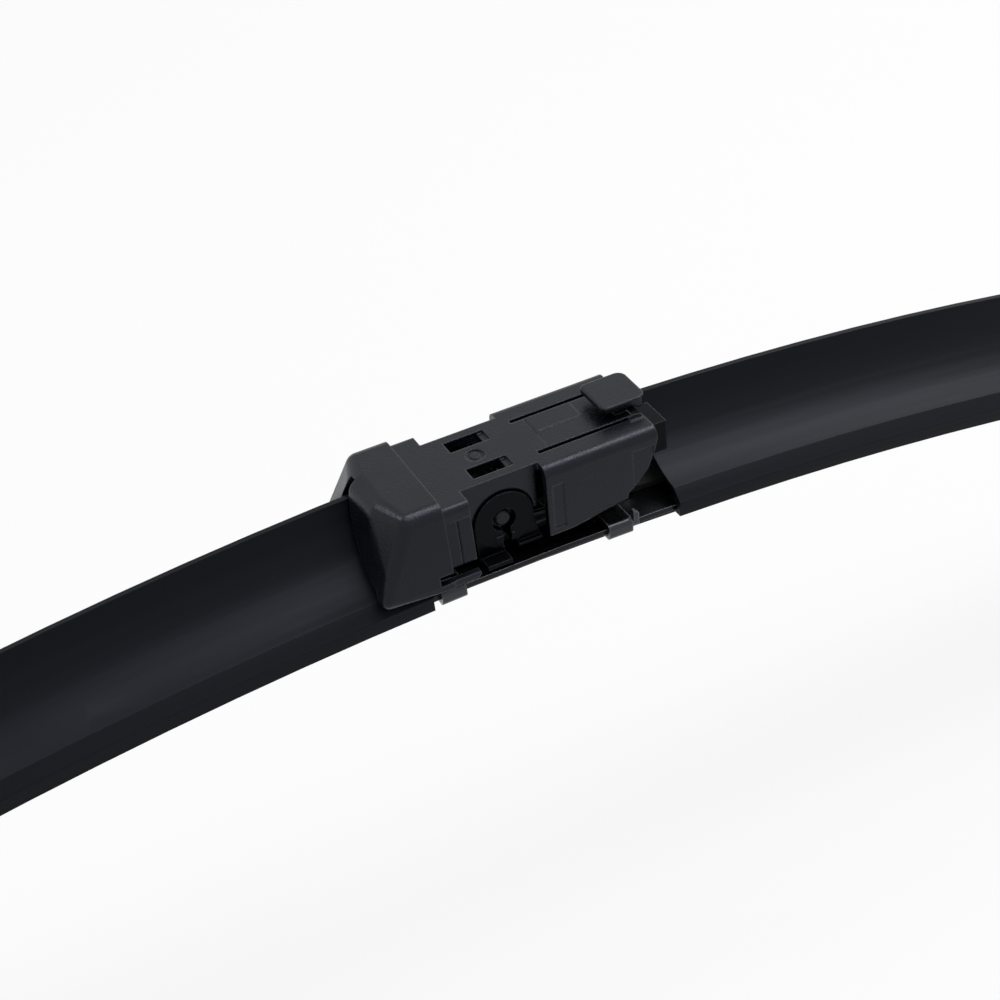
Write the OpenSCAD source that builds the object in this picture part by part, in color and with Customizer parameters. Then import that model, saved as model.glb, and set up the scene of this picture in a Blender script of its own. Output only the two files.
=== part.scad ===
// Flat (beam) wiper blade with a push-button connector, for an arm whose end is a sheet-metal channel.
// Origin: centre of the rocking pin. +X runs along the blade away from the hood, +Z away from the glass.
// Everything that follows the bow is drawn as a section (y, height above the rails) and swept round it.

/* [Blade] */
// Length of the spring rails, measured along their bow
blade_length = 560; // [400:10:700]
// Radius of the bow at the top face of the rails
bow_radius = 590; // [500:10:1200]
// Crown of the bow, along the blade from the pin
crown_x = 1; // [-3:0.5:4]
// Top face of the rails below the pin, at the crown
rail_drop = 7.4; // [7.2:0.1:8.4]

/* [Rails] */
// Width over both rails
rail_span = 19; // [18:0.25:20]
// Thickness of a rail
rail_t = 0.95; // [0.7:0.05:1]
// Gap between the rails
rail_gap = 3; // [2.4:0.2:4]

/* [Wiping rubber] */
// Width of the head that lies on the rails
head_w = 6.4; // [5.6:0.2:6.8]
// Thickness of the head
head_t = 1; // [0.6:0.1:1.1]
// Width of the flange under the rails
flange_w = 6.8; // [5.6:0.2:7]
// Thickness of the flange under the rails
flange_t = 1.1; // [0.8:0.1:1.6]
// Width of the hinge web that lets the lip flip over
web_w = 1.5; // [1:0.1:2.2]
// Height of the hinge web
web_h = 1.2; // [0.8:0.1:2]
// Width of the shoulders that stop the lip when it has flipped
shoulder_w = 5.2; // [4:0.2:6.4]
// Thickness of the shoulders
shoulder_t = 1; // [0.7:0.1:1.6]
// Width of the lip where it leaves the shoulders
lip_root_w = 2.4; // [1.8:0.1:3.2]
// Height of the lip below the shoulders
lip_h = 5; // [4:0.2:7]
// Width of the wiping edge
lip_edge_w = 0.7; // [0.5:0.1:1]

/* [Spoiler] */
// Width over the two gripping edges
spoiler_w = 21.4; // [21:0.1:21.6]
// Height of the ridge above the rails
spoiler_h = 13.4; // [11:0.2:14]
// Ridge behind the middle of the blade
ridge_y = 3.9; // [2.4:0.1:4.8]
// Thickness of the ridge
ridge_t = 0.9; // [0.7:0.1:1.2]
// Radius of the hollow front face
face_radius = 15.3; // [14:0.1:20]
// Radius of the hollow back face
back_radius = 26; // [20:1:40]
// Height of the upright edge bands above the rails
band_top = 0.85; // [0.8:0.05:1.2]
// Depth of the edge bands below the top of the rails
band_bottom = 1.6; // [1.5:0.05:2]
// Width of the sloping shoulder inside each band
slope_w = 2.1; // [1.6:0.1:2.6]
// Height of the sloping shoulder above its band
slope_h = 1.85; // [1.4:0.05:2.2]
// Wall of the hollow extrusion
spoiler_wall = 0.9; // [0.7:0.1:1]
// Reach of the gripping claws over the rails, in from the band's outer face
claw_reach = 3; // [2.4:0.2:4]
// Where the left length of spoiler ends, under the hood
left_end_x = -14.4; // [-15.4:0.1:-14]
// Where the right length of spoiler starts
right_start_x = 29.1; // [29.1:0.1:32]

/* [Bracket] */
// Thickness of the bracket's sheet steel
sheet_t = 0.9; // [0.8:0.05:1]
// Width over the two upright ears
ears_w = 9; // [8.6:0.1:9.2]
// Height of the bridge's underside above the rails
bridge_lift = 1.25; // [1.2:0.05:1.5]
// Left end of the bracket
bracket_left_x = -12.9; // [-13.2:0.1:-12.5]
// Right end of the bracket
bracket_right_x = 20.65; // [20:0.05:22]
// Width of a claw along the blade
claw_w = 4.2; // [3.4:0.2:5]
// Reach of a claw under the rail
claw_hook = 2.4; // [1.6:0.2:3.2]
// Width along the blade of the lugs beside the right claws
lug_w = 1.2; // [0.8:0.1:1.6]
// Height of those lugs above the rails
lug_h = 2; // [1.6:0.1:2.4]
// Radius of the ears round the pin
ear_radius = 3.9; // [3.4:0.1:4]

/* [Pin] */
// Radius of the pin
pin_r = 2; // [1.8:0.05:2.2]
// Length over both ends of the pin
pin_length = 14.2; // [13.6:0.2:14.6]
// Radius of the thicker middle between the ears
pin_collar_r = 2.8; // [2.5:0.1:3.2]
// Radius of the turned-down tips
pin_tip_r = 1.35; // [1.2:0.05:1.6]
// Length of a turned-down tip
pin_tip_length = 0.9; // [0.5:0.1:1.2]

/* [Connector seat] */
// Wall of the seat's side plates
seat_wall = 0.9; // [0.8:0.05:1]
// Radius of the round bearing bosses
boss_radius = 5; // [4.6:0.1:5.2]
// Width over the two bearing bosses
bosses_w = 14.7; // [14.4:0.1:15]
// Depth of the legs behind the faces of the bosses
leg_recess = 0.45; // [0.2:0.05:0.6]
// Width of the mouth that the pin snaps in through, next to the bearing
mouth_w = 1.4; // [1.2:0.1:1.8]
// Middle of the mouth, along the blade from the pin
mouth_x = 0.25; // [0:0.05:0.5]
// Depth of the mouth below the pin, where the wider slot begins
mouth_depth = 4.4; // [3.8:0.1:4.8]
// Height of the nibs beside the mouth above the faces of the bosses
nib_h = 0.25; // [0.1:0.05:0.4]
// Width of the slot between the legs
snap_w = 2.1; // [1.6:0.1:2.6]
// Middle of the slot between the legs, along the blade from the pin
snap_x = 0.95; // [0.8:0.05:1.4]
// Depth of the left bearing leg below the pin
left_leg = 6.95; // [6.6:0.05:7]
// Depth of the right bearing leg below the pin
right_leg = 5.8; // [5.2:0.1:6.2]
// Width over the feet of the left legs
feet_w = 18.6; // [17:0.2:18.8]
// Thickness of the feet
foot_t = 0.7; // [0.5:0.1:1]
// Reach of the lip on the right legs
toe_reach = 0.85; // [0.4:0.05:1]
// Thickness of that lip
toe_t = 0.45; // [0.3:0.05:0.6]
// Near face of the end block
block_x = 27.1; // [26.9:0.1:27.2]
// Thickness of the end block along the blade
block_t = 1.3; // [1:0.1:1.4]
// Thickness of the end block's front part, which stands over the spoiler's hollow face
lug_t = 2.4; // [1.6:0.1:2.6]
// Width of the end block
block_w = 13; // [12:0.2:14]
// Top of the end block above the pin
block_top = 6.5; // [6:0.1:6.6]
// Underside of the end block above the pin
block_bottom = 1; // [0.6:0.1:1.4]

// Thickness of the stop under the tongue, along the blade
stop_t = 2; // [1.6:0.1:2.4]
// Height of that stop above the underside of the end block
stop_h = 2.5; // [2:0.1:2.8]

/* [Adapter] */
// Height of the seating face above the pin
seat_z = 8; // [7.8:0.05:8.4]
// Thickness of the top plate
plate_t = 1.4; // [1.2:0.05:1.6]
// Width of the box that the arm's channel slides over
box_w = 19; // [18:0.1:20]
// Left end of the box
box_x = 6.6; // [6.3:0.1:7]
// Length of the box
box_length = 19.66; // [18.8:0.1:20]
// Wall of the box sides
box_wall = 1.3; // [1.1:0.1:1.6]
// Lower edge of the box sides below the pin
box_foot = 4.7; // [4.2:0.1:5]
// Rounding of the box's top edges
box_edge_r = 1.7; // [1.2:0.1:1.8]
// Rounding of the wide plate's top edges
edge_r = 1.1; // [0.6:0.1:1.2]
// Width of the moulded lines
line_w = 0.25; // [0.2:0.05:0.4]
// Depth of the moulded lines
line_depth = 0.2; // [0.1:0.05:0.3]
// Width of the middle of the top plate
waist_w = 13.96; // [13.8:0.05:14.2]
// Left end of the waist, where the wide part of the plate begins
waist_x = -6.6; // [-6.9:0.1:-6.4]
// Width of the wide part of the plate, next to the hood
shoulder_plate_w = 20.4; // [20:0.1:20.8]
// Width over the pillars under the wide part
pillar_w = 19.8; // [19:0.1:20]
// How much wider the pillars stand at their feet, on each side
pillar_flare = 0.9; // [0.4:0.1:1.1]
// Underside of the pillars, measured from the pin
pillar_bottom = -2.4; // [-3:0.1:-1.5]
// Width of the rectangular windows in the waist
window_w = 2.8; // [2:0.1:3]
// Length of the windows
window_length = 6.8; // [5:0.1:7]
// Length of the sunk ledge at the right end of each window
window_ledge = 1; // [0.6:0.1:1.4]
// Distance between the middles of the two windows
window_pitch = 7.9; // [7.6:0.1:8.2]
// Middle of the windows, along the blade from the pin
window_x = -0.05; // [-0.4:0.05:0.3]
// Middle of the small dimple, along the blade from the pin
dimple_x = -0.5; // [-1:0.1:0.5]
// Radius of the dimple
dimple_r = 1.5; // [1:0.1:1.8]

/* [Hood] */
// Rim of the hood, where the arm's channel stops
rim_x = -11.1; // [-11.5:0.1:-10.8]
// Height of the hood above the plate, which is the sheet of the arm
arm_sheet = 1.2; // [0.9:0.1:1.6]
// Width of the hood at its rim
hood_top_w = 21.6; // [21:0.1:22]
// Wall of the hood's skirt beside the spoiler
skirt_wall = 1.1; // [1:0.1:1.5]
// Wall of the hood
hood_wall = 1.3; // [1:0.1:1.3]
// Left end of the hood's shoulder, on the middle of the blade
hood_top_x = -20.7; // [-21:0.1:-20]
// Width of the shoulder's roundings across the blade
bluff_w = 14; // [12:0.5:16]
// Left end of the hood's upper corners
corner_x = -18.5; // [-19:0.1:-18]
// Left end of the hood's sides where they bend
knee_x = -21.6; // [-21.9:0.1:-21.2]
// Height of that bend above the pin
knee_z = 0.4; // [-0.6:0.1:1.2]
// Left end of the hood's skirt
skirt_x = -23; // [-23.4:0.1:-22.5]
// Underside of the skirt, measured from the pin
skirt_bottom = -5.2; // [-5.4:0.1:-5]
// Height of the skirt's lower strip
strip_h = 1.1; // [0.9:0.1:1.4]
// Right end of the lower strip
strip_x = -6.6; // [-7:0.1:-6.2]
// Reach of the gap above the strip into the hood's side
strip_gap_reach = 2.3; // [1:0.1:2.5]
// Rounding of the hood's rim and upper corners
crown_r = 2.2; // [1.6:0.1:2.4]
// Rounding of the hood's left shoulder
bluff_r = 3.4; // [2.8:0.1:3.6]
// Rounding of the hood's left corners where they bend
knee_r = 1.4; // [1:0.1:1.8]
// Rounding of the skirt's left corners
corner_r = 1.4; // [1:0.1:1.8]
// Room above the spoiler that lets the blade rock under the hood
rock_room = 1.9; // [1.8:0.1:2.2]
// Width of the slot that clears the ridge
ridge_slot_w = 1.5; // [1.5:0.1:2.2]

/* [Latch] */
// Where the tongue bends
tongue_x = 10.1; // [9.6:0.1:11.5]
// Length of the tongue
tongue_length = 14.7; // [13.5:0.1:15]
// Width of the tongue
tongue_w = 8.7; // [8:0.1:8.9]
// Width of the slits beside the tongue
slit_w = 0.8; // [0.5:0.05:0.9]
// Where the slits start
slit_x = 7.75; // [7.5:0.05:9]
// Left end of the button, along the blade from the pin
button_x = 19.9; // [19.5:0.1:20.5]
// Length of the button along the blade
button_length = 7.8; // [7:0.1:8]
// Width of the button across the blade
button_w = 8; // [7:0.1:8.2]
// Top of the button above the seating face
button_h = 2.7; // [2.4:0.1:3]
// Thickness of the button's left edge
button_t = 0.9; // [0.7:0.1:1.2]
// Underside of the button's right end above the seating face
heel_z = 0.8; // [0.6:0.1:1.1]
// Rounding of the button's right corners
button_r = 1.5; // [0.8:0.1:1.6]
// Rounding of the button's top edges
button_edge_r = 0.25; // [0.2:0.05:0.4]
// Undercut of the button's left end
undercut = 2.6; // [2:0.1:3]
// Height of the raised pad on the tongue
pad_h = 0.12; // [0.05:0.01:0.2]
// Length of the raised pad
pad_length = 8; // [6:0.2:9]

/* [End caps] */
// Length of an end cap
cap_length = 30; // [24:1:40]
// Wall of an end cap round the spoiler
cap_wall = 0.9; // [0.7:0.1:1.2]
// How far an end cap reaches past the rails
cap_over = 2.5; // [1.5:0.5:5]
// How far the spoiler stops short of the rails' ends
spoiler_setback = 10; // [8:1:14]
// Height of the cap's nose above the rails
nose_h = 2.4; // [2:0.1:4]

/* [Fits] */
// Radial play of the pin in its bearings
pin_play = 0.05; // [0.02:0.01:0.09]
// Radial play of the pin in the bracket's ears
ear_play = 0.02; // [0.01:0.01:0.05]
// Play between pieces that slide together and stay put
slide_play = 0.05; // [0.04:0.01:0.1]
// Gap between pieces that pass each other as the blade rocks
pass_gap = 0.3; // [0.25:0.05:0.4]
// Dark gap round the bearing bosses
boss_gap = 0.35; // [0.3:0.05:0.5]

/* [Hidden] */
$fn = 64;
hull_steps = 32;
bow_steps = 720;
eps = 0.01;
rim_band = 1;
past = 2;
far = 60;
gloss_black = "#101214";
rubber_black = "#15171a";
satin_black = "#2b2e31";
steel_black = "#1b1d20";
pin_grey = "#4a4d50";

half_blade = blade_length / 2;
half_rails = rail_span / 2;
half_spoiler = spoiler_w / 2;
slope_y = half_spoiler - slope_w;
slope_top = band_top + slope_h;
ridge_back_y = ridge_y + ridge_t;
cap_start = half_blade - cap_length + cap_over;
cap_end = half_blade + cap_over;
spoiler_end = half_blade - spoiler_setback;

plate_bottom = seat_z - plate_t;
box_end_x = box_x + box_length;
hood_top = seat_z + arm_sheet;
tongue_end_x = tongue_x + tongue_length;
button_end_x = button_x + button_length;
skirt_w = spoiler_w + 2 * (pass_gap + skirt_wall);
tongue_hole_w = tongue_w + 2 * slit_w;

seat_inner = ears_w / 2 + pass_gap;
seat_outer = seat_inner + seat_wall;
bearing_r = pin_r + pin_play;
lining_inner = seat_outer + 0.1;
half_waist = waist_w / 2;

// Arc length along the bow, from its crown, of a place x along the blade
function arc_at(x) = bow_radius * asin((x - crown_x) / bow_radius) * PI / 180;

// Centre of the circle of radius r through p and q that lies to the left of the way from p to q
function arc_centre(p, q, r) =
    let (d = q - p, half = norm(d) / 2, n = [-d[1], d[0]] / norm(d))
    (p + q) / 2 + n * sqrt(r * r - half * half);

// Points of an arc round a centre
function arc(centre, r, from, to, steps = 8) =
    [for (i = [0:steps])
        let (a = from + (to - from) * i / steps)
        centre + r * [cos(a), sin(a)]];

function mirrored(points) =
    concat(points, [for (i = [len(points) - 1:-1:0]) [-points[i][0], points[i][1]]]);

// Sweeps a section (y, height above the rails) round the bow, between two arc lengths
module along_bow(s0, s1) {
    turn = 180 / PI / bow_radius;
    translate([crown_x, 0, -rail_drop - bow_radius])
        rotate([90, 0, 0])
            rotate([0, 0, 90 - s1 * turn])
                rotate_extrude(angle = (s1 - s0) * turn, $fn = bow_steps)
                    translate([bow_radius, 0])
                        rotate(-90)
                            children();
}

// Extrudes a section (y, z) along the blade
module along_x(x0, x1) {
    translate([x0, 0, 0])
        rotate([90, 0, 90])
            linear_extrude(x1 - x0)
                children();
}

// Extrudes an outline (x, z) across the blade
module across_y(y0, y1) {
    translate([0, y1, 0])
        rotate([90, 0, 0])
            linear_extrude(y1 - y0)
                children();
}

// The same on both sides of the middle, between two distances from it
module both_sides(y0, y1) {
    across_y(y0, y1) children();
    across_y(-y1, -y0) children();
}

module block(x0, x1, y0, y1, z0, z1) {
    translate([x0, y0, z0])
        cube([x1 - x0, y1 - y0, z1 - z0]);
}

// Section (y, z) with its two upper corners rounded
module round_topped(half, z0, z1, r) {
    translate([-half, z0])
        square([2 * half, z1 - r - z0]);
    translate([r - half, z0])
        square([2 * (half - r), z1 - z0]);
    for (side = [-1, 1])
        translate([side * (half - r), z1 - r])
            circle(r);
}

module rail_section(side, play = 0) {
    inner = rail_gap / 2 - play;
    width = half_rails - rail_gap / 2 + 2 * play;
    translate([side > 0 ? inner : -inner - width, -rail_t - play])
        square([width, rail_t + 2 * play]);
}

module rail(side) {
    color(steel_black)
        along_bow(-half_blade, half_blade)
            rail_section(side);
}

module rail_front() {
    rail(-1);
}

module rail_rear() {
    rail(1);
}

module rubber_section() {
    under = -rail_t - slide_play;
    flange_under = under - flange_t;
    web_under = flange_under - web_h;
    shoulder_under = web_under - shoulder_t;
    edge = shoulder_under - lip_h;
    neck_w = rail_gap - 2 * slide_play;
    polygon(mirrored([
        [head_w / 2, slide_play + head_t],
        [head_w / 2, slide_play],
        [neck_w / 2, slide_play],
        [neck_w / 2, under],
        [flange_w / 2, under],
        [flange_w / 2, flange_under + flange_t / 3],
        [web_w / 2, flange_under],
        [web_w / 2, web_under],
        [shoulder_w / 2, web_under - shoulder_t / 3],
        [shoulder_w / 2, shoulder_under],
        [lip_root_w / 2, shoulder_under],
        [lip_edge_w / 2, edge + lip_h / 4],
        [lip_edge_w / 2, edge]
    ]));
}

module wiping_rubber() {
    color(rubber_black)
        along_bow(-half_blade, half_blade)
            rubber_section();
}

// Outer form of the spoiler, grown by a skin and carved by its two hollow faces
module spoiler_form(skin) {
    front = arc_centre([-slope_y, slope_top], [ridge_y, spoiler_h], face_radius);
    back = arc_centre([ridge_back_y, spoiler_h], [slope_y, slope_top], back_radius);
    difference() {
        polygon([
            [-half_spoiler - skin, -band_bottom - skin],
            [-half_spoiler - skin, band_top + skin / 2],
            [-slope_y - skin / 2, slope_top + skin],
            [ridge_y - skin, spoiler_h + skin],
            [ridge_back_y + skin, spoiler_h + skin],
            [slope_y + skin / 2, slope_top + skin],
            [half_spoiler + skin, band_top + skin / 2],
            [half_spoiler + skin, -band_bottom - skin]
        ]);
        translate(front)
            circle(face_radius - skin, $fn = 4 * $fn);
        translate(back)
            circle(back_radius - skin, $fn = 4 * $fn);
    }
}

module spoiler_section() {
    claw_y = half_spoiler - claw_reach;
    floor_top = slide_play + spoiler_wall * 0.8;
    difference() {
        spoiler_form(0);
        difference() {
            spoiler_form(-spoiler_wall);
            translate([-far, -far])
                square([2 * far, far + floor_top]);
        }
        translate([-claw_y, -far])
            square([2 * claw_y, far + floor_top + eps]);
        for (side = [-1, 1])
            rail_section(side, slide_play);
    }
}

module spoiler_left() {
    color(gloss_black)
        along_bow(-spoiler_end, arc_at(left_end_x))
            spoiler_section();
}

module spoiler_right() {
    color(gloss_black)
        along_bow(arc_at(right_start_x), spoiler_end)
            spoiler_section();
}

// Moulded cap that slides over the end of the spoiler and the rails; end = 1 at the right, -1 at the left
module end_cap(end) {
    s0 = end > 0 ? cap_start : -cap_end;
    s1 = end > 0 ? cap_end : -cap_start;
    pocket_end = spoiler_end + slide_play;
    rail_end = half_blade + slide_play;
    tilt = end * half_blade / bow_radius * 180 / PI;
    color(satin_black)
        difference() {
            along_bow(s0, s1)
                spoiler_form(cap_wall);
            along_bow(end > 0 ? s0 - 1 : -pocket_end, end > 0 ? pocket_end : s1 + 1)
                spoiler_form(slide_play);
            along_bow(end > 0 ? s0 - 1 : -rail_end, end > 0 ? rail_end : s1 + 1)
                cap_slots();
            // The top runs down in a curve to the nose
            translate([crown_x, 0, -rail_drop - bow_radius])
                rotate([0, tilt, 0])
                    translate([end * cap_over, 0, bow_radius + nose_h])
                        mirror([end > 0 ? 0 : 1, 0, 0])
                            nose_cut();
        }
}

// What is cut off above the nose of a cap: everything outside a cylinder across the blade
module nose_cut() {
    rise = spoiler_h + cap_wall - nose_h;
    nose_r = (cap_length * cap_length * 0.36 + rise * rise) / (2 * rise);
    difference() {
        block(-cap_length * 0.6, cap_wall + past, -spoiler_w, spoiler_w, 0, far);
        translate([-cap_length * 0.6, 0, rise - nose_r])
            rotate([90, 0, 0])
                cylinder(r = nose_r, h = spoiler_w * 3, center = true);
    }
}

// Pocket for the ends of the rails and the rubber inside a cap
module cap_slots() {
    for (side = [-1, 1])
        rail_section(side, slide_play);
    half = max(head_w, flange_w) / 2 + slide_play * 4;
    translate([-half, -far])
        square([2 * half, far + head_t + slide_play * 4]);
}

module end_cap_left() {
    end_cap(-1);
}

module end_cap_right() {
    end_cap(1);
}

// Section of a pressed claw: from the bridge down onto the rail, round its edge and under it
module claw_section() {
    ear = ears_w / 2;
    out = half_rails + slide_play;
    under = -rail_t - slide_play;
    polygon(mirrored(concat(
        [[ear, bridge_lift + sheet_t], [ear + sheet_t * 0.6, sheet_t]],
        arc([out, 0], sheet_t, 90, 0),
        arc([out, under], sheet_t, 0, -90),
        [
            [out - claw_hook, under - sheet_t],
            [out - claw_hook, under],
            [out, under],
            [out, 0],
            [ear, 0],
            [ear - sheet_t, bridge_lift]
        ])));
}

module bracket() {
    ear = ears_w / 2;
    base_z = bridge_lift - rail_drop;
    foot_z = base_z + sheet_t / 2;
    claw_gap = claw_w + 0.8;
    color(steel_black)
        difference() {
            union() {
                along_bow(arc_at(bracket_left_x), arc_at(bracket_right_x))
                    translate([-ear - 0.15, bridge_lift])
                        square([2 * ear + 0.3, sheet_t]);
                for (x = [bracket_left_x, bracket_right_x - claw_w])
                    along_bow(arc_at(x), arc_at(x + claw_w))
                        claw_section();
                // Lugs turned up beside the right claws
                both_sides(half_rails + 3 * slide_play, half_rails + sheet_t * 0.9)
                    polygon([
                        [bracket_right_x - 1, -rail_drop - sheet_t],
                        [bracket_right_x + lug_w, -rail_drop - sheet_t],
                        [bracket_right_x + lug_w, -rail_drop + lug_h - lug_w / 2],
                        [bracket_right_x + lug_w / 2, -rail_drop + lug_h],
                        [bracket_right_x + lug_w / 5, -rail_drop + lug_h],
                        [bracket_right_x + lug_w / 5, -rail_drop],
                        [bracket_right_x - 1, -rail_drop]
                    ]);
                both_sides(ear - sheet_t, ear)
                    difference() {
                        union() {
                            circle(ear_radius);
                            polygon([
                                [-ear_radius, 0],
                                [bracket_left_x + claw_gap, base_z + 2 * sheet_t],
                                [bracket_left_x + claw_gap, foot_z],
                                [bracket_right_x - claw_gap, foot_z],
                                [bracket_right_x - claw_gap, base_z + 2 * sheet_t],
                                [ear_radius * 1.6, base_z + 3 * sheet_t],
                                [ear_radius, 0]
                            ]);
                        }
                        circle(pin_r + ear_play);
                    }
            }
            // Lightening slot between the ears and the right claws
            translate([(bracket_right_x + ear_radius) / 2, 0, base_z - 1])
                cylinder(r = ear - 2 * sheet_t, h = 1 + 2 * sheet_t);
        }
}

module pivot_pin() {
    collar = ears_w / 2 - sheet_t - ear_play;
    tip = pin_length / 2;
    shoulder = tip - pin_tip_length;
    chamfer = pin_tip_r / 4;
    color(pin_grey)
        rotate([90, 0, 0]) {
            cylinder(r = pin_r, h = 2 * shoulder, center = true);
            cylinder(r = pin_collar_r, h = 2 * collar, center = true);
            cylinder(r = pin_tip_r, h = 2 * (tip - chamfer), center = true);
            for (side = [0, 180])
                rotate([side, 0, 0])
                    translate([0, 0, tip - chamfer])
                        cylinder(r1 = pin_tip_r, r2 = pin_tip_r - chamfer, h = chamfer);
        }
}

// Mouth (x, z) that the pin snaps in through: narrow next to the bearing, wider between the legs
module mouth() {
    circle(bearing_r);
    translate([mouth_x - mouth_w / 2, -mouth_depth - 1])
        square([mouth_w, mouth_depth + 1]);
    translate([snap_x - snap_w / 2, -far])
        square([snap_w, far - mouth_depth]);
}

module connector_seat() {
    boss_y = bosses_w / 2;
    leg_y = boss_y - leg_recess;
    mouth_left = mouth_x - mouth_w / 2;
    slot_right = snap_x + snap_w / 2;
    deck_top = plate_bottom - slide_play;
    deck_bottom = deck_top - seat_wall;
    deck_x = window_x + window_length / 2 + 0.4;
    stop_x = tongue_end_x - 1.5 * stop_t;
    color(satin_black) {
        // Bearing bosses, with nibs beside the mouth
        both_sides(seat_inner, boss_y)
            difference() {
                circle(boss_radius);
                mouth();
            }
        both_sides(boss_y - nib_h, boss_y + nib_h) {
            translate([mouth_left - mouth_w * 0.9, -pin_r - 1.8])
                square([mouth_w * 0.9, 1]);
            translate([mouth_left + mouth_w, -pin_r - 1.8])
                square([mouth_w * 0.4, 1]);
        }
        // Legs, with feet turned out on the left and a lip on the right
        both_sides(seat_inner, leg_y)
            difference() {
                polygon([
                    [-boss_radius, 0],
                    [-boss_radius * 0.9, -left_leg],
                    [snap_x, -left_leg],
                    [snap_x, -right_leg],
                    [boss_radius * 1.2, -right_leg],
                    [boss_radius, 0]
                ]);
                mouth();
            }
        both_sides(seat_inner, feet_w / 2)
            translate([-boss_radius * 0.85, -left_leg])
                square([boss_radius * 0.85 + snap_x - snap_w / 2, foot_t]);
        both_sides(leg_y - seat_wall, leg_y + toe_reach)
            translate([slot_right, -right_leg])
                square([boss_radius * 1.2 - slot_right, toe_t]);
        // Side plates that carry the end block
        both_sides(seat_inner, seat_outer)
            polygon([
                [0, bearing_r + 1],
                [boss_radius * 0.6, block_bottom - 1],
                [block_x + block_t / 2, block_bottom],
                [block_x + block_t / 2, deck_bottom],
                [deck_x, deck_top],
                [deck_x, boss_radius * 0.8],
                [0, boss_radius - 0.4]
            ]);
        // Deck that lies under the top plate
        block(deck_x, box_x + 1, -seat_outer, seat_outer, deck_bottom, deck_top);
        block(stop_x, stop_x + stop_t, -seat_outer, seat_outer, block_bottom, block_bottom + stop_h);
        // End block, with a thicker part over the hollow face of the spoiler
        block(block_x, block_x + block_t, -block_w / 2, block_w / 2, block_bottom, block_top);
        block(block_x, block_x + lug_t, -block_w / 2, -block_t / 2, block_bottom, block_top);
    }
}

// Outer form of the hood, drawn in by an inset for its hollow
module hood_form(inset) {
    crown = crown_r - inset / 2;
    bluff = bluff_r - inset / 2;
    knee = knee_r - inset / 2;
    corner = corner_r - inset / 2;
    drop = inset > 0 ? far / 4 : 0;
    top_y = hood_top_w / 2 - inset;
    low_y = skirt_w / 2 - inset;
    hull($fn = hull_steps) {
        for (side = [-1, 1]) {
            translate([rim_x - rim_band, side * (top_y - crown), hood_top - inset - crown])
                rotate([0, 90, 0])
                    cylinder(r = crown, h = rim_band);
            translate([hood_top_x + inset + bluff, side * (bluff_w / 2 - bluff), hood_top - inset - bluff])
                sphere(bluff);
            translate([corner_x + inset + crown, side * (top_y - crown), hood_top - inset - crown])
                sphere(crown);
            translate([knee_x + inset + knee, side * ((top_y + low_y) / 2 - knee), knee_z])
                sphere(knee);
            translate([skirt_x + inset + corner, side * (low_y - corner), skirt_bottom + corner - drop])
                sphere(corner);
            translate([rim_x - rim_band, side > 0 ? low_y - rim_band : -low_y, skirt_bottom - drop])
                cube([rim_band, rim_band, strip_h]);
        }
    }
}

// Room that the spoiler needs under the hood as the blade rocks
module rocking_room() {
    half = half_spoiler + pass_gap;
    ridge_mid = ridge_y + ridge_t / 2;
    x0 = skirt_x - past;
    x1 = bracket_left_x + past;
    along_x(x0, x1)
        translate([0, rock_room - rail_drop])
            spoiler_form(pass_gap);
    block(x0, x1, -half, half, -far, rock_room - rail_drop + band_top);
    block(x0, x1, ridge_mid - ridge_slot_w / 2, ridge_mid + ridge_slot_w / 2, 0, hood_top - hood_wall + eps);
    block(x0, hood_top_x + bluff_r / 2, ridge_mid - ridge_slot_w / 2, ridge_mid + ridge_slot_w / 2,
        0, hood_top - hood_wall / 3);
}

// Slab (y, z) that follows the slanting outer face of a pillar, between two depths behind it
module pillar_slab(side, depth0, depth1, z0, z1) {
    slant = pillar_flare / (plate_bottom - pillar_bottom);
    y0 = pillar_w / 2 + slant * (plate_bottom - z0);
    y1 = pillar_w / 2 + slant * (plate_bottom - z1);
    polygon([
        [side * (y0 - depth0), z0],
        [side * (y1 - depth0), z1],
        [side * (y1 - depth1), z1],
        [side * (y0 - depth1), z0]
    ]);
}

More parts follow.
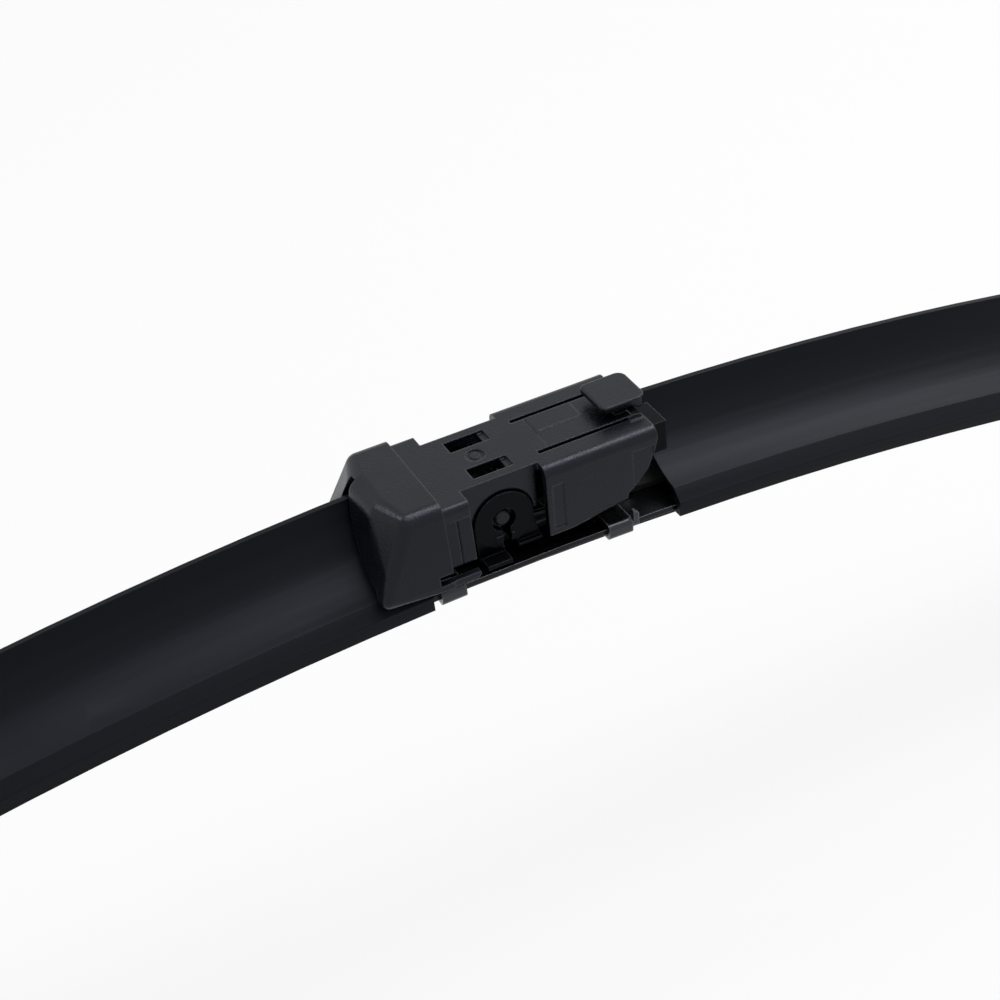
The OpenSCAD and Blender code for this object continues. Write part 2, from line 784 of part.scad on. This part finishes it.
module adapter() {
    rim_in = rim_x - hood_wall / 2;
    groove_x = (rim_x + waist_x - line_w) / 2;
    window_y = window_pitch / 2;
    through = window_length - window_ledge;
    strip_bottom = skirt_bottom + 0.05;
    color(satin_black)
        difference() {
            union() {
                difference() {
                    hood_form(0);
                    intersection() {
                        hood_form(hood_wall);
                        block(skirt_x, rim_x - hood_wall, -far, far, -far, hood_top);
                    }
                    // Gap between the pillar and the lower strip, which runs on into the hood's side
                    across_y(-far, far)
                        translate([rim_x - strip_gap_reach, skirt_bottom + strip_h])
                            square([strip_gap_reach + past, pillar_bottom - skirt_bottom - strip_h]);
                }
                // Wide part of the plate, with the pillars and the lower strip under it
                along_x(rim_in, waist_x)
                    round_topped(shoulder_plate_w / 2, plate_bottom - edge_r, seat_z, edge_r);
                for (side = [-1, 1])
                    along_x(rim_in, waist_x)
                        pillar_slab(side, 0, hood_wall, pillar_bottom, plate_bottom);
                both_sides(skirt_w / 2 - hood_wall, skirt_w / 2 - 0.15)
                    polygon([
                        [rim_in, strip_bottom],
                        [strip_x - strip_h / 2, strip_bottom],
                        [strip_x, strip_bottom + strip_h / 2],
                        [strip_x, strip_bottom + strip_h],
                        [rim_in, strip_bottom + strip_h]
                    ]);
                // Partition between the hood and the bearing
                both_sides(lining_inner, pillar_w / 2 - hood_wall / 2)
                    translate([waist_x - hood_wall, pillar_bottom])
                        square([hood_wall, plate_bottom - pillar_bottom]);
                // Waist and its side walls
                along_x(waist_x - 1, box_x + box_wall)
                    translate([-half_waist, plate_bottom])
                        square([waist_w, plate_t]);
                both_sides(lining_inner, half_waist)
                    translate([waist_x - hood_wall / 2, 0])
                        square([box_x - box_wall / 2 - waist_x + hood_wall / 2, plate_bottom + plate_t / 2]);
                box();
            }
            // Round cut-outs for the bearing bosses
            across_y(-half_waist - 1, half_waist + 1) {
                circle(boss_radius + boss_gap);
                translate([-boss_radius * 1.3, -far])
                    square([boss_radius * 2.6, far]);
            }
            rocking_room();
            // Moulded lines on the pillars
            for (side = [-1, 1])
                along_x(groove_x, groove_x + line_w)
                    pillar_slab(side, -1, line_depth, pillar_bottom - 1, plate_bottom - edge_r);
            // Windows, each with a sunk ledge at its right end
            for (y = [-window_y, window_y]) {
                block(window_x - window_length / 2, window_x - window_length / 2 + through,
                    y - window_w / 2, y + window_w / 2, plate_bottom - past, seat_z + past);
                block(window_x, window_x + window_length / 2,
                    y - window_w / 2, y + window_w / 2, seat_z - plate_t / 3, seat_z + past);
            }
            // Dimple with a raised centre
            translate([dimple_x, 0, seat_z - plate_t / 4])
                difference() {
                    cylinder(r = dimple_r, h = plate_t);
                    cylinder(r = dimple_r * 0.55, h = plate_t / 5);
                }
        }
}

module box() {
    half = box_w / 2;
    left = box_x + box_length * 0.05;
    right = box_end_x - box_length * 0.04;
    sunk = half - line_depth;
    // Lower edge of the sides, as shares of the box's length and of its foot
    edge = [[0.08, -1.01], [0.2, -1], [0.336, -0.92], [0.448, -0.83], [0.707, -0.66], [0.717, -0.45],
        [0.814, -0.21], [0.908, 0.2], [0.949, 0.585], [0.992, 1.17], [1.05, 2.2], [1.05, -1.5], [0.08, -1.5]];
    difference() {
        along_x(box_x, box_end_x)
            difference() {
                round_topped(half, -box_foot, seat_z, box_edge_r);
                translate([box_wall - half, -box_foot - 1])
                    square([box_w - 2 * box_wall, plate_bottom + box_foot + 1]);
            }
        // The lower edge rises to the right, so that the blade can rock
        across_y(-far, far)
            polygon([for (share = edge) [box_x + share[0] * box_length, share[1] * box_foot]]);
        block(slit_x, box_end_x + 1, -tongue_hole_w / 2, tongue_hole_w / 2, plate_bottom - 1, seat_z + 1);
        // Shallow fields sunk in the sides
        both_sides(sunk, half + 1) {
            translate([left, -box_foot * 0.8])
                square([box_length * 0.1, box_foot * 1.75]);
            translate([right - box_length * 0.19, -box_foot])
                square([box_length * 0.19, box_foot * 2.1]);
        }
    }
    // The root of the tongue, between the slits
    block(slit_x - 1, tongue_x - slide_play, -tongue_w / 2, tongue_w / 2, plate_bottom, seat_z);
    // Guides beside the end of the tongue
    both_sides(tongue_w / 2 + line_w, tongue_hole_w / 2 + box_wall / 2)
        translate([box_end_x - 2.6, plate_bottom])
            square([2.4, plate_t + line_depth]);
}

// Block under the button's top face: rounded corners, rounded top edge
module button_plan() {
    hull($fn = hull_steps)
        for (place = [[button_x, button_r * 0.6, 1], [button_end_x, button_r, -1]])
            for (side = [-1, 1])
                translate([place[0] + place[2] * place[1], side * (button_w / 2 - place[1]), seat_z]) {
                    cylinder(r = place[1], h = button_h - button_edge_r);
                    cylinder(r = place[1] - button_edge_r * 0.3, h = button_h - button_edge_r * 0.3);
                    cylinder(r = place[1] - button_edge_r, h = button_h);
                }
}

module latch_tongue() {
    top = seat_z + button_h;
    post_y = button_w * 0.36;
    color(satin_black) {
        block(tongue_x, tongue_end_x, -tongue_w / 2, tongue_w / 2, plate_bottom, seat_z);
        block(tongue_x + line_w, tongue_x + pad_length, line_w / 2, tongue_w / 2 - line_w / 2,
            seat_z - plate_t / 2, seat_z + pad_h);
        // Post that joins the button to the tongue
        block(button_x + undercut, tongue_end_x - line_w, -post_y, post_y,
            seat_z - plate_t / 2, top - button_t / 2);
        // Button: a plate with an undercut on the left and a deeper heel on the right
        intersection() {
            button_plan();
            across_y(-button_w, button_w)
                polygon([
                    [button_x - past, top - button_t],
                    [button_x + undercut, top - button_t * 1.15],
                    [button_end_x - undercut, top - button_t * 1.4],
                    [button_end_x - undercut * 0.6, seat_z + heel_z],
                    [button_end_x + past, seat_z + heel_z],
                    [button_end_x + past, top + past],
                    [button_x - past, top + past]
                ]);
        }
    }
}

rail_front();
rail_rear();
wiping_rubber();
spoiler_left();
spoiler_right();
end_cap_left();
end_cap_right();
bracket();
pivot_pin();
connector_seat();
adapter();
latch_tongue();
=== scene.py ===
"""Flat wiper blade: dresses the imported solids, lights them and sets up the reference view."""

import logging
import math
from dataclasses import dataclass, field
from enum import Enum
from typing import Any

import bpy
from mathutils import Matrix, Vector


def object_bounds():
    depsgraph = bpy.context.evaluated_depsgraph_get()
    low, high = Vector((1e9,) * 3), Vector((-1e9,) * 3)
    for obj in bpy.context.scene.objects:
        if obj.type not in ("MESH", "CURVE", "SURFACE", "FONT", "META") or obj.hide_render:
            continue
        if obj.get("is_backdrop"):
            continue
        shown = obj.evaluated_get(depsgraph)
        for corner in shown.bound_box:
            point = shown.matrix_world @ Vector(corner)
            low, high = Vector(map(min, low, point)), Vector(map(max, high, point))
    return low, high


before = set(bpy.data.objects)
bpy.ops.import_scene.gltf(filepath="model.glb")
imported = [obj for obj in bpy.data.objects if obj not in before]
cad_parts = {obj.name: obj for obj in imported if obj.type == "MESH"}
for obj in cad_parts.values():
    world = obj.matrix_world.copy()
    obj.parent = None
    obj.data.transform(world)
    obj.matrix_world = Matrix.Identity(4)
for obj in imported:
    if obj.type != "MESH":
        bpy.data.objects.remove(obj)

LOG = logging.getLogger("wiper_blade")
MM = 0.001
WHITE = "#ffffff"

# Centre of the arc that the blade follows when nothing presses on it.
BOW_CENTRE_MM = (1.0, 0.0, -597.4)

# Mottle: a soft cloud that lightens the colour between two levels and moves the gloss a little.
MOTTLE_DETAIL = 4.0
MOTTLE_HARSHNESS = 0.6
MOTTLE_DARK_AT = 0.3
MOTTLE_LIGHT_AT = 0.75
MOTTLE_GAIN = 1.25
GLOSS_LOW_AT = 0.3
GLOSS_HIGH_AT = 0.7

# Grain and the slow waves of a surface have less fine detail in them than mottle has.
GRAIN_DETAIL = 2.0
GRAIN_HARSHNESS = 0.5
WAVE_DETAIL = 1.0

# Edges wear and take a painted highlight where the rounded normal leaves the flat one, given as
# the cosine between them.
EDGE_SAMPLES = 6
WEAR_AND_HIGHLIGHT_STARTS_AT = 0.995
WEAR_AND_HIGHLIGHT_FULL_AT = 0.8

# Sockets of the Mix node when it mixes colours. It has one set for each kind of value.
MIX_FACTOR, MIX_FIRST, MIX_SECOND, MIX_RESULT = 0, 6, 7, 2


def linear(hex_colour: str) -> tuple[float, float, float, float]:
    """Turns an sRGB hex colour into the linear colour that the shaders take.

    The numbers are those of the sRGB standard.

    Args:
        hex_colour: A colour such as "#17181a".

    Returns:
        Linear red, green, blue and an alpha of 1.
    """
    parts = [int(hex_colour[i : i + 2], 16) / 255 for i in (1, 3, 5)]
    red, green, blue = (
        c / 12.92 if c <= 0.04045 else ((c + 0.055) / 1.055) ** 2.4 for c in parts
    )
    return red, green, blue, 1.0


def add_node(
    tree: bpy.types.NodeTree, kind: str, settings: dict[str, Any], inputs: dict[Any, Any]
) -> bpy.types.Node:
    """Adds a node, applies its settings, and fills or links its inputs.

    Args:
        tree: The tree that takes the node.
        kind: The node's type name, without the "ShaderNode" in front.
        settings: Attribute names and their values.
        inputs: Input names or numbers, and a value or an output socket for each.

    Returns:
        The new node.
    """
    node = tree.nodes.new("ShaderNode" + kind)
    for name, value in settings.items():
        setattr(node, name, value)
    for name, value in inputs.items():
        socket = node.inputs[name]
        if isinstance(value, bpy.types.NodeSocket):
            tree.links.new(value, socket)
        else:
            socket.default_value = value
    return node


def background_seen(tree: bpy.types.NodeTree) -> bpy.types.NodeSocket:
    """Tells the rays that show the white background from those that carry light.

    Args:
        tree: The tree of the floor's material or of the world.

    Returns:
        1 for what the camera, a reflection or clear material shows, else 0.
    """
    rays = add_node(tree, "LightPath", {}, {}).outputs
    mirrored = add_node(
        tree,
        "Math",
        {"operation": "MAXIMUM"},
        {0: rays["Is Glossy Ray"], 1: rays["Is Transmission Ray"]},
    ).outputs[0]
    return add_node(
        tree, "Math", {"operation": "MAXIMUM"}, {0: rays["Is Camera Ray"], 1: mirrored}
    ).outputs[0]


def per_metre(size_mm: float) -> float:
    """Returns the texture scale at which one cell of a pattern is size_mm wide."""
    return 1.0 / (size_mm * MM)


class Direction(Enum):
    """How fast the marks of a surface change along the blade, as a share of across it."""

    EVEN = 1.0
    ALONG_BLADE = 0.02


@dataclass(frozen=True)
class Finish:
    """One real material with the surface that its making leaves.

    The sizes of the patterns are in millimetres on the real part. Grain finer than about
    0.25 mm would vanish at the picture's scale, so it is drawn at that size or coarser.
    """

    name: str
    colour: str
    # The edge colour: worn paint or plastic, and a painted highlight along the rounded edges.
    wear_and_highlight_colour: str
    roughness: float
    roughness_spread: float
    ior: float
    grain_mm: float
    grain_depth_mm: float
    mottle_mm: float
    edge_mm: float
    direction: Direction = Direction.EVEN
    metallic: float = 0.0
    specular: float = 0.5
    specular_tint: str = WHITE
    coat: float = 0.0
    coat_roughness: float = 0.1
    # How strongly the edge colour shows: wear and painted highlight together.
    edge_wear_and_highlight: float = 0.15
    wave_mm: float = 0.0
    wave_depth_mm: float = 0.0

    def build(self) -> bpy.types.Material:
        """Builds the material.

        Returns:
            A node material: mottled colour, grain, rounded edges, and slight wear with a painted
                highlight on them.
        """
        material = bpy.data.materials.new(self.name)
        material.use_nodes = True
        tree = material.node_tree
        tree.nodes.clear()
        place = add_node(tree, "TexCoord", {}, {}).outputs["Object"]
        run = self._run(tree, place)
        mottle = add_node(
            tree,
            "TexNoise",
            {},
            {
                "Vector": run,
                "Scale": per_metre(self.mottle_mm),
                "Detail": MOTTLE_DETAIL,
                "Roughness": MOTTLE_HARSHNESS,
            },
        ).outputs["Fac"]
        grain = add_node(
            tree,
            "TexNoise",
            {},
            {
                "Vector": run,
                "Scale": per_metre(self.grain_mm),
                "Detail": GRAIN_DETAIL,
                "Roughness": GRAIN_HARSHNESS,
            },
        ).outputs["Fac"]
        normal, wear_and_highlight = self._edges(tree, grain, run)
        base = add_node(tree, "ValToRGB", {}, {"Fac": mottle})
        dark, light = base.color_ramp.elements
        dark.position, light.position = MOTTLE_DARK_AT, MOTTLE_LIGHT_AT
        dark.color = linear(self.colour)
        red, green, blue = (min(1.0, c * MOTTLE_GAIN) for c in linear(self.colour)[:3])
        light.color = (red, green, blue, 1.0)
        # Mixes in the edge colour, which is wear and a painted highlight.
        tint = add_node(
            tree,
            "Mix",
            {"data_type": "RGBA"},
            {
                MIX_FACTOR: wear_and_highlight,
                MIX_FIRST: base.outputs["Color"],
                MIX_SECOND: linear(self.wear_and_highlight_colour),
            },
        ).outputs[MIX_RESULT]
        rough = add_node(
            tree,
            "MapRange",
            {},
            {
                "Value": mottle,
                "From Min": GLOSS_LOW_AT,
                "From Max": GLOSS_HIGH_AT,
                "To Min": self.roughness - self.roughness_spread,
                "To Max": self.roughness + self.roughness_spread,
            },
        ).outputs["Result"]
        shader = add_node(
            tree,
            "BsdfPrincipled",
            {},
            {
                "Base Color": tint,
                "Roughness": rough,
                "Metallic": self.metallic,
                "IOR": self.ior,
                "Specular IOR Level": self.specular,
                "Specular Tint": linear(self.specular_tint),
                "Coat Weight": self.coat,
                "Coat Roughness": self.coat_roughness,
                "Normal": normal,
            },
        ).outputs[0]
        add_node(tree, "OutputMaterial", {}, {"Surface": shader})
        return material

    def _run(
        self, tree: bpy.types.NodeTree, place: bpy.types.NodeSocket
    ) -> bpy.types.NodeSocket:
        """Stretches the pattern along the bow of the blade, as drawing lines run.

        Args:
            tree: The material's tree.
            place: The point on the object.

        Returns:
            The point itself, or its stretched place along, across and above the bow.
        """
        if self.direction is Direction.EVEN:
            return place
        centre = tuple(v * MM for v in BOW_CENTRE_MM)
        spoke = add_node(
            tree, "VectorMath", {"operation": "SUBTRACT"}, {0: place, 1: centre}
        ).outputs[0]
        upright = add_node(
            tree, "VectorMath", {"operation": "MULTIPLY"}, {0: spoke, 1: (1.0, 0.0, 1.0)}
        ).outputs[0]
        height = add_node(
            tree, "VectorMath", {"operation": "LENGTH"}, {0: upright}
        ).outputs["Value"]
        sides = add_node(tree, "SeparateXYZ", {}, {"Vector": place}).outputs
        bent = add_node(
            tree, "CombineXYZ", {}, {"X": sides["X"], "Y": sides["Y"], "Z": height}
        ).outputs[0]
        return add_node(
            tree,
            "VectorMath",
            {"operation": "MULTIPLY"},
            {0: bent, 1: (self.direction.value, 1.0, 1.0)},
        ).outputs[0]

    def _edges(
        self,
        tree: bpy.types.NodeTree,
        grain: bpy.types.NodeSocket,
        run: bpy.types.NodeSocket,
    ) -> tuple[bpy.types.NodeSocket, bpy.types.NodeSocket]:
        """Rounds the edges in the shading and finds where they wear and take a painted
        highlight.

        Args:
            tree: The material's tree.
            grain: The grain pattern, from 0 to 1.
            run: The point that the patterns take.

        Returns:
            The normal for the shader, and the edge mark from 0 to 1: wear with a painted
            highlight.
        """
        rounded = add_node(
            tree, "Bevel", {"samples": EDGE_SAMPLES}, {"Radius": self.edge_mm * MM}
        ).outputs[0]
        flat = add_node(tree, "NewGeometry", {}, {}).outputs["Normal"]
        turn = add_node(
            tree, "VectorMath", {"operation": "DOT_PRODUCT"}, {0: rounded, 1: flat}
        ).outputs["Value"]
        # The edge mask lightens edges for wear and for a painted highlight.
        wear_and_highlight = add_node(
            tree,
            "MapRange",
            {},
            {
                "Value": turn,
                "From Min": WEAR_AND_HIGHLIGHT_STARTS_AT,
                "From Max": WEAR_AND_HIGHLIGHT_FULL_AT,
                "To Min": 0.0,
                "To Max": self.edge_wear_and_highlight,
            },
        ).outputs["Result"]
        bump = add_node(
            tree,
            "Bump",
            {},
            {
                "Strength": 1.0,
                "Distance": self.grain_depth_mm * MM,
                "Height": grain,
                "Normal": rounded,
            },
        ).outputs[0]
        if self.wave_mm <= 0.0:
            return bump, wear_and_highlight
        swell = add_node(
            tree,
            "TexNoise",
            {},
            {"Vector": run, "Scale": per_metre(self.wave_mm), "Detail": WAVE_DETAIL},
        ).outputs["Fac"]
        wavy = add_node(
            tree,
            "Bump",
            {},
            {
                "Strength": 1.0,
                "Distance": self.wave_depth_mm * MM,
                "Height": swell,
                "Normal": bump,
            },
        ).outputs[0]
        return wavy, wear_and_highlight


# Glass-filled nylon, injection moulded in a spark-eroded tool: satin black, a fine grain
# that glitters on rounded edges. The paler edges are slight wear and a painted highlight.
MOULDED_NYLON = Finish(
    name="nylon_moulded_black",
    colour="#101217",
    wear_and_highlight_colour="#5f636a",
    roughness=0.27,
    roughness_spread=0.04,
    ior=1.53,
    grain_mm=0.3,
    grain_depth_mm=0.045,
    mottle_mm=5.0,
    edge_mm=0.4,
    specular=0.23,
    specular_tint="#e8eeff",
    edge_wear_and_highlight=0.3,
)

# Acetal, injection moulded in a polished tool: smooth, and darker than the nylon round it.
# Part of that darkness is painted shade from the waist above the seat; the paler rim is a
# painted highlight.
MOULDED_ACETAL = Finish(
    name="acetal_moulded_black",
    colour="#090a0d",
    wear_and_highlight_colour="#6a6e75",
    roughness=0.3,
    roughness_spread=0.04,
    ior=1.48,
    grain_mm=0.5,
    grain_depth_mm=0.006,
    mottle_mm=4.0,
    edge_mm=0.25,
    specular=0.07,
    specular_tint="#e6ecff",
    edge_wear_and_highlight=0.6,
)

# Thermoplastic elastomer, extruded: smooth satin black with faint drawing lines along the blade.
EXTRUDED_ELASTOMER = Finish(
    name="elastomer_extruded_black",
    colour="#08090d",
    wear_and_highlight_colour="#2c2f34",
    roughness=0.44,
    roughness_spread=0.03,
    ior=1.5,
    grain_mm=0.5,
    grain_depth_mm=0.01,
    mottle_mm=9.0,
    edge_mm=0.2,
    direction=Direction.ALONG_BLADE,
    specular=0.135,
    specular_tint="#e6ecff",
    wave_mm=2.6,
    wave_depth_mm=0.15,
)

# Natural rubber with a graphite coat, extruded and cut: dull, nearly without gloss.
GRAPHITED_RUBBER = Finish(
    name="rubber_graphited",
    colour="#161617",
    wear_and_highlight_colour="#222224",
    roughness=0.68,
    roughness_spread=0.06,
    ior=1.52,
    grain_mm=0.4,
    grain_depth_mm=0.012,
    mottle_mm=7.0,
    edge_mm=0.1,
    direction=Direction.ALONG_BLADE,
    specular=0.3,
)

# Spring steel strip under black electrophoretic paint: smooth and fairly glossy. The paint
# is thin on the edges and wears a little there; their paler colour is mostly a painted
# highlight.
PAINTED_SPRING_STEEL = Finish(
    name="spring_steel_painted_black",
    colour="#060708",
    wear_and_highlight_colour="#b4b7bc",
    roughness=0.25,
    roughness_spread=0.04,
    ior=1.5,
    grain_mm=0.6,
    grain_depth_mm=0.004,
    mottle_mm=10.0,
    edge_mm=0.2,
    specular=0.15,
    specular_tint="#e6ecff",
    coat=0.1,
    coat_roughness=0.12,
    edge_wear_and_highlight=0.9,
)

# Pressed sheet steel under black paint: glossy, with a slight orange peel.
# Its pale edges are a painted highlight on the claws' bends, with slight wear.
PAINTED_PRESSING = Finish(
    name="pressed_steel_painted_black",
    colour="#0a0b0d",
    wear_and_highlight_colour="#c4c7cc",
    roughness=0.2,
    roughness_spread=0.03,
    ior=1.5,
    grain_mm=0.6,
    grain_depth_mm=0.004,
    mottle_mm=6.0,
    edge_mm=0.55,
    specular=0.3,
    specular_tint="#e6ecff",
    coat=0.4,
    edge_wear_and_highlight=0.5,
    wave_mm=1.6,
    wave_depth_mm=0.02,
)

# Turned steel, blackened: a dark metal with faint turning marks.
BLACKENED_STEEL = Finish(
    name="steel_blackened",
    colour="#1f2124",
    wear_and_highlight_colour="#5a5d61",
    roughness=0.36,
    roughness_spread=0.05,
    ior=1.5,
    grain_mm=0.3,
    grain_depth_mm=0.005,
    mottle_mm=2.0,
    edge_mm=0.25,
    metallic=0.85,
)


@dataclass
class SubAssembly:
    """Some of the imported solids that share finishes."""

    title: str
    finishes: dict[str, Finish]

    def dress(self, made: dict[str, bpy.types.Material]) -> None:
        """Puts each node's finish on its solid.

        Args:
            made: The materials built so far, by name; new ones are added.
        """
        for node, finish in self.finishes.items():
            if finish.name not in made:
                made[finish.name] = finish.build()
            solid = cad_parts[node]
            for slot in solid.material_slots:
                slot.material = made[finish.name]
            LOG.info("%s: %s in %s", self.title, node, finish.name)


@dataclass
class WipingElement(SubAssembly):
    """Rails, rubber, the two lengths of spoiler and the end caps."""

    title: str = "wiping element"
    finishes: dict[str, Finish] = field(
        default_factory=lambda: {
            "rail_front": PAINTED_SPRING_STEEL,
            "rail_rear": PAINTED_SPRING_STEEL,
            "wiping_rubber": GRAPHITED_RUBBER,
            "spoiler_left": EXTRUDED_ELASTOMER,
            "spoiler_right": EXTRUDED_ELASTOMER,
            "end_cap_left": MOULDED_NYLON,
            "end_cap_right": MOULDED_NYLON,
        }
    )


@dataclass
class Connector(SubAssembly):
    """Bracket, pin, seat, adapter and latch."""

    title: str = "connector"
    finishes: dict[str, Finish] = field(
        default_factory=lambda: {
            "bracket": PAINTED_PRESSING,
            "pivot_pin": BLACKENED_STEEL,
            "connector_seat": MOULDED_ACETAL,
            "adapter": MOULDED_NYLON,
            "latch_tongue": MOULDED_NYLON,
        }
    )


@dataclass(frozen=True)
class Softbox:
    """One lamp that faces the blade, with its length along it."""

    name: str
    place_m: tuple[float, float, float]
    length_m: float
    width_m: float
    power_w: float

    def hang(self) -> None:
        """Hangs the lamp and turns it towards the connector."""
        lamp = bpy.data.lights.new(self.name, "AREA")
        lamp.shape = "RECTANGLE"
        lamp.size = self.length_m
        lamp.size_y = self.width_m
        lamp.energy = self.power_w
        place = Vector(self.place_m)
        aim = place.normalized()
        across_blade = Vector((0.0, 1.0, 0.0))
        along = across_blade.cross(aim).normalized()
        axes = Matrix((along, aim.cross(along), aim)).transposed().to_4x4()
        holder = bpy.data.objects.new(self.name, lamp)
        holder.matrix_world = Matrix.Translation(place) @ axes
        bpy.context.scene.collection.objects.link(holder)


@dataclass
class Studio:
    """Pale floor, soft lamps overhead and a surround that is dark at the horizon.

    The floor lights the blade with floor_colour, and floor_shade is the share of its shadow
    that shows on the white. The two heights are those of a direction, from 0 level to 1 up.
    """

    floor_radius_m: float = 0.7
    floor_drop_m: float = 0.0005
    floor_corners: int = 96
    floor_colour: str = "#8a8a8a"
    paper_colour: str = "#f4f4f4"
    floor_shade: float = 0.15
    lamps: tuple[Softbox, ...] = (
        Softbox("softbox_overhead", (0.3, -0.06, 0.95), 1.1, 0.65, 6.0),
        Softbox("softbox_middle", (0.27, 0.0, 0.75), 0.2, 0.2, 1.0),
        Softbox("softbox_left", (-0.5, 0.4, 0.77), 0.22, 0.22, 1.9),
        Softbox("softbox_right", (0.68, 0.2, 0.69), 0.45, 0.45, 2.8),
    )
    sky_colour: str = "#f6f8ff"
    horizon: float = 0.03
    zenith: float = 0.12
    horizon_height: float = 0.05
    zenith_height: float = 0.8

    def build(self) -> None:
        """Builds the floor, the lamps and the world, and sets the view transform."""
        self._floor()
        for lamp in self.lamps:
            lamp.hang()
        self._world()
        bpy.context.scene.view_settings.view_transform = "Standard"

    def _floor(self) -> None:
        """Lays a white disc under the blade that still takes its shadow."""
        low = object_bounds()[0][2] - self.floor_drop_m
        turns = [2 * math.pi * i / self.floor_corners for i in range(self.floor_corners)]
        ring = [
            (self.floor_radius_m * math.cos(turn), self.floor_radius_m * math.sin(turn), low)
            for turn in turns
        ]
        mesh = bpy.data.meshes.new("floor")
        mesh.from_pydata(ring, [], [tuple(range(self.floor_corners))])
        floor = bpy.data.objects.new("floor", mesh)
        bpy.context.scene.collection.objects.link(floor)
        material = bpy.data.materials.new("paper_white")
        material.use_nodes = True
        tree = material.node_tree
        tree.nodes.clear()
        dim, paper = (
            add_node(tree, "BsdfDiffuse", {}, {"Color": linear(colour)}).outputs[0]
            for colour in (self.floor_colour, self.paper_colour)
        )
        glow = add_node(
            tree, "Emission", {}, {"Color": linear(WHITE), "Strength": 1.0}
        ).outputs[0]
        shown = add_node(
            tree, "MixShader", {}, {0: self.floor_shade, 1: glow, 2: paper}
        ).outputs[0]
        surface = add_node(
            tree, "MixShader", {}, {0: background_seen(tree), 1: dim, 2: shown}
        ).outputs[0]
        add_node(tree, "OutputMaterial", {}, {"Surface": surface})
        mesh.materials.append(material)
        floor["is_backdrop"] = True

    def _world(self) -> None:
        """Makes a surround that looks white but lights little at the horizon, more overhead."""
        world = bpy.data.worlds.new("studio")
        bpy.context.scene.world = world
        world.use_nodes = True
        tree = world.node_tree
        tree.nodes.clear()
        toward = add_node(tree, "TexCoord", {}, {}).outputs["Generated"]
        height = add_node(tree, "SeparateXYZ", {}, {"Vector": toward}).outputs["Z"]
        level = add_node(
            tree,
            "MapRange",
            {"interpolation_type": "SMOOTHSTEP"},
            {
                "Value": height,
                "From Min": self.horizon_height,
                "From Max": self.zenith_height,
                "To Min": self.horizon,
                "To Max": self.zenith,
            },
        ).outputs["Result"]
        room, white = (
            add_node(
                tree, "Background", {}, {"Color": linear(colour), "Strength": strength}
            ).outputs[0]
            for colour, strength in ((self.sky_colour, level), (WHITE, 1.0))
        )
        surface = add_node(
            tree, "MixShader", {}, {0: background_seen(tree), 1: room, 2: white}
        ).outputs[0]
        add_node(tree, "OutputWorld", {}, {"Surface": surface})


@dataclass
class ReferenceCamera:
    """The camera fitted to the straight edges of the connector."""

    place_mm: tuple[float, float, float] = (-99.20, -232.82, 192.47)
    azimuth_deg: float = -23.67
    elevation_deg: float = 37.44
    roll_deg: float = -5.87
    lens_mm: float = 73.57
    sensor_mm: float = 36.0
    clip_start_m: float = 0.01

    def build(self) -> None:
        """Builds the camera and makes it the scene's."""
        turn, rise, roll = (
            math.radians(v) for v in (self.azimuth_deg, self.elevation_deg, self.roll_deg)
        )
        back = Vector(
            (
                math.sin(turn) * math.cos(rise),
                -math.cos(turn) * math.cos(rise),
                math.sin(rise),
            )
        )
        level = Vector((math.cos(turn), math.sin(turn), 0.0))
        upright = back.cross(level)
        right = math.cos(roll) * level + math.sin(roll) * upright
        top = -math.sin(roll) * level + math.cos(roll) * upright
        lens = bpy.data.cameras.new("reference_view")
        lens.lens = self.lens_mm
        lens.sensor_width = self.sensor_mm
        lens.clip_start = self.clip_start_m
        camera = bpy.data.objects.new("reference_view", lens)
        axes = Matrix((right, top, back)).transposed().to_4x4()
        camera.matrix_world = Matrix.Translation(Vector(self.place_mm) * MM) @ axes
        bpy.context.scene.collection.objects.link(camera)
        bpy.context.scene.camera = camera


def main() -> None:
    """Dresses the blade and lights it."""
    logging.basicConfig(level=logging.INFO, format="%(name)s: %(message)s")
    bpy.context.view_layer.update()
    made: dict[str, bpy.types.Material] = {}
    for assembly in (WipingElement(), Connector()):
        assembly.dress(made)
    Studio().build()
    ReferenceCamera().build()


if __name__ == "__main__":
    main()
